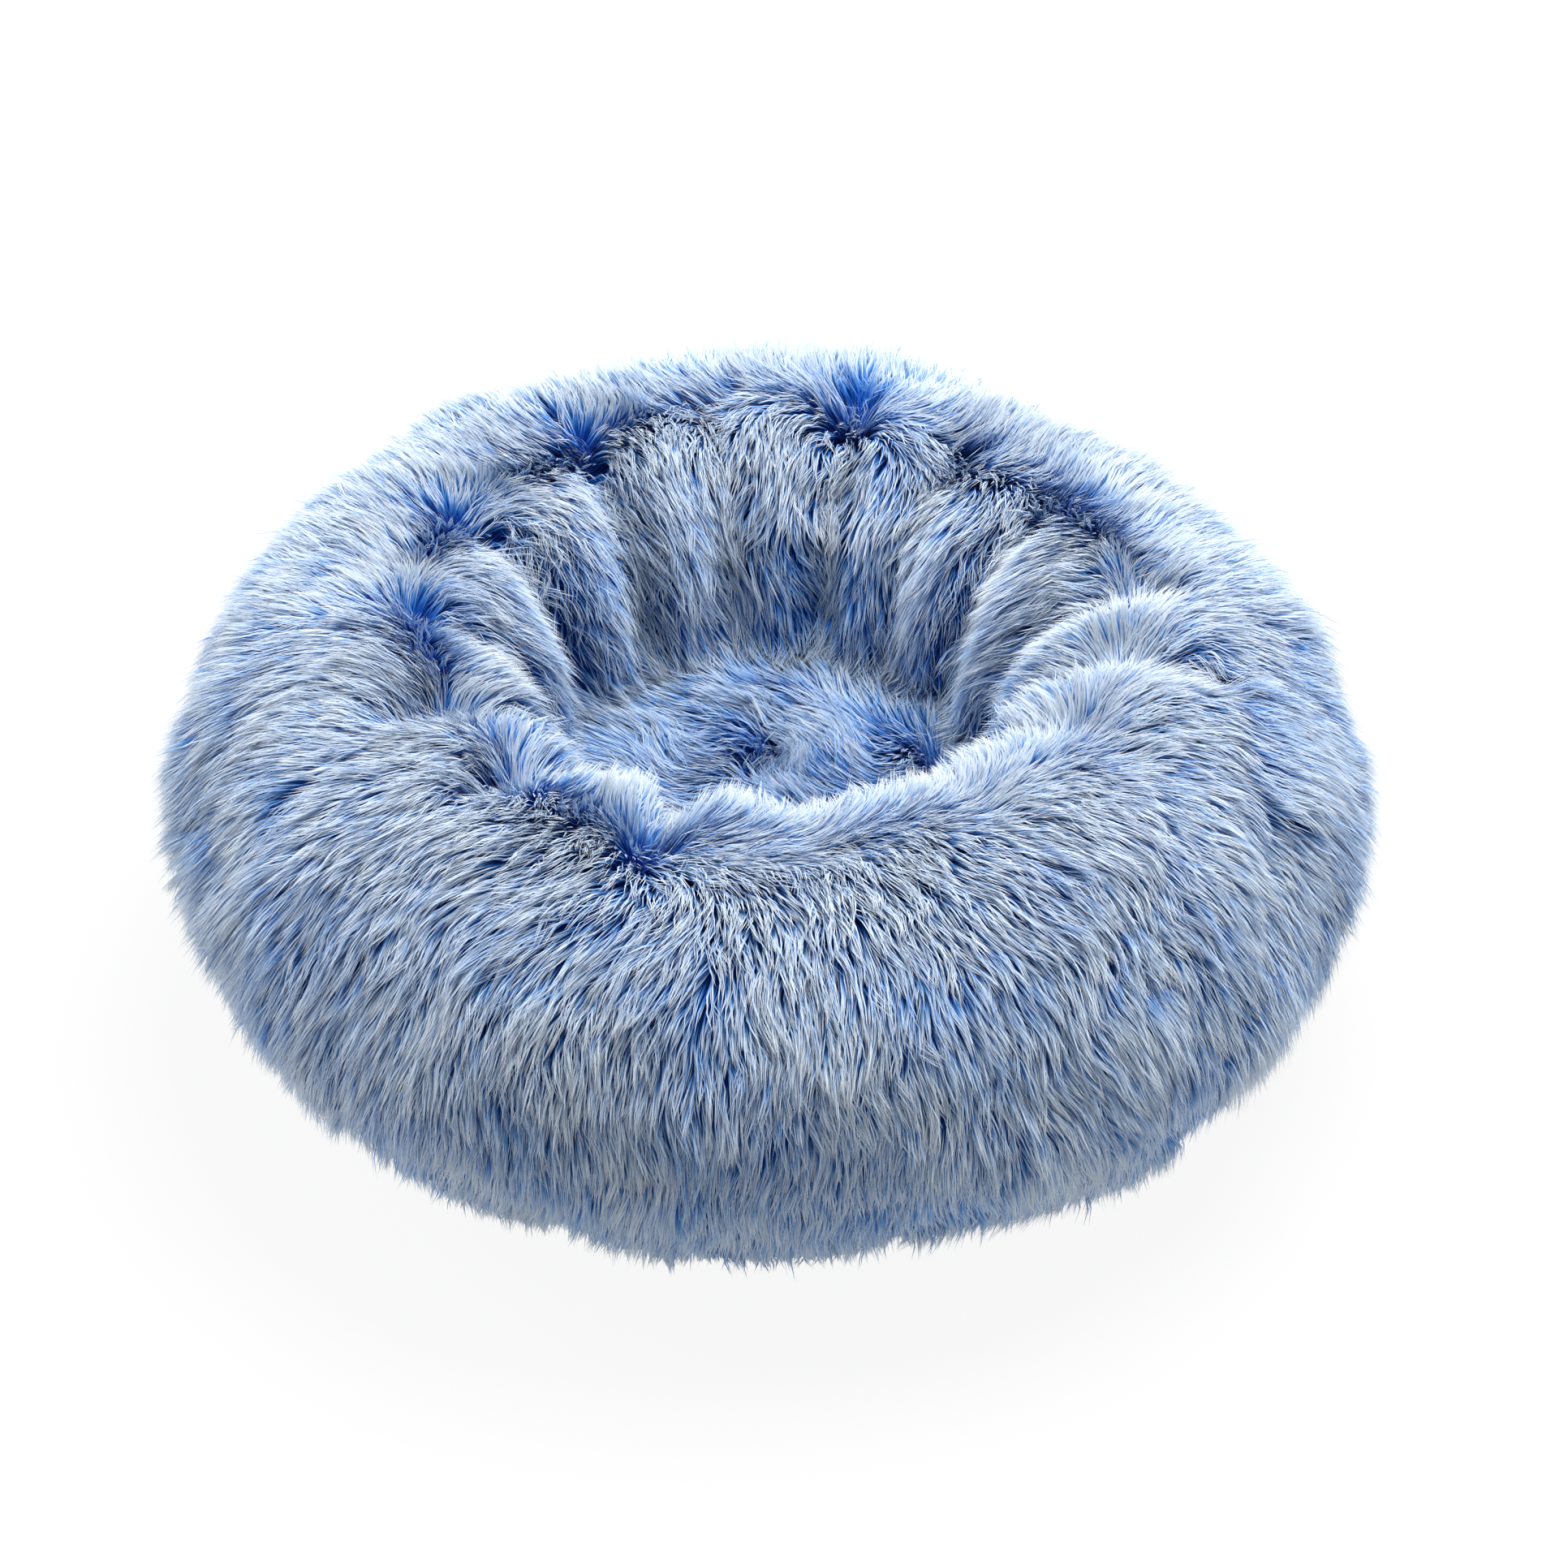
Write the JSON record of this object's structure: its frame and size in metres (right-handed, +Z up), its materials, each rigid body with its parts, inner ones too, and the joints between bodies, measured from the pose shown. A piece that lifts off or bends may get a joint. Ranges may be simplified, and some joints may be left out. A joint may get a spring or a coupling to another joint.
{
  "type": "donut pet bed",
  "caption": "Round donut pet bed in blue long-pile faux fur, with a plump bolster round a sunken cushion, a cloth base and a zip under its rear edge.",
  "frame": {"origin": "centre of the base on the surface that the bed rests on", "axes": "+Z up through the nest, +X to the right and -Y towards the viewer of the picture, with the zip along the rear edge at +Y"},
  "size_m": [0.4999, 0.4998, 0.2],
  "materials": {
    "blue_fur": "long-pile faux fur, deep blue at the roots and icy pale blue at the tips",
    "white_nonwoven": "thin white nonwoven cloth",
    "white_fibre": "loose white polyester fibre",
    "grey_base_cloth": "matt woven cloth with small grip dots",
    "blue_zip_tape": "woven tape",
    "blue_nylon": "satin nylon coil",
    "zip_steel": "plain plated metal"
  },
  "bodies": {
    "bed": {"bolster_fur_cover": "blue_fur", "nest_fur_panel": "blue_fur", "nest_seam_binding": "blue_zip_tape", "bolster_inner_case": "white_nonwoven", "bolster_fibre_fill": "white_fibre", "nest_inner_case": "white_nonwoven", "nest_fibre_fill": "white_fibre", "base_grip_cloth": "grey_base_cloth", "base_edge_binding": "grey_base_cloth", "zip_tape_base": "blue_zip_tape", "zip_tape_cover": "blue_zip_tape", "zip_coil_base": "blue_nylon", "zip_coil_cover": "blue_nylon", "zip_top_stop_base": "zip_steel", "zip_top_stop_cover": "zip_steel", "zip_bottom_stop": "zip_steel"},
    "slider": {"zip_slider": "zip_steel"},
    "pull_tab": {"zip_pull_tab": "zip_steel"}
  },
  "joints": [
    {"name": "zip_slide", "type": "hinge", "parent": "bed", "child": "slider", "pos_m": [0, 0, 0], "axis": [0, 0, 1], "range_deg": [0, 103]},
    {"name": "pull_tab_swing", "type": "hinge", "parent": "slider", "child": "pull_tab", "pos_m": [0.12356, 0.09799, 0.00205], "axis": [0.7835, 0.6214, 0], "range_deg": [0, 180]}
  ]
}
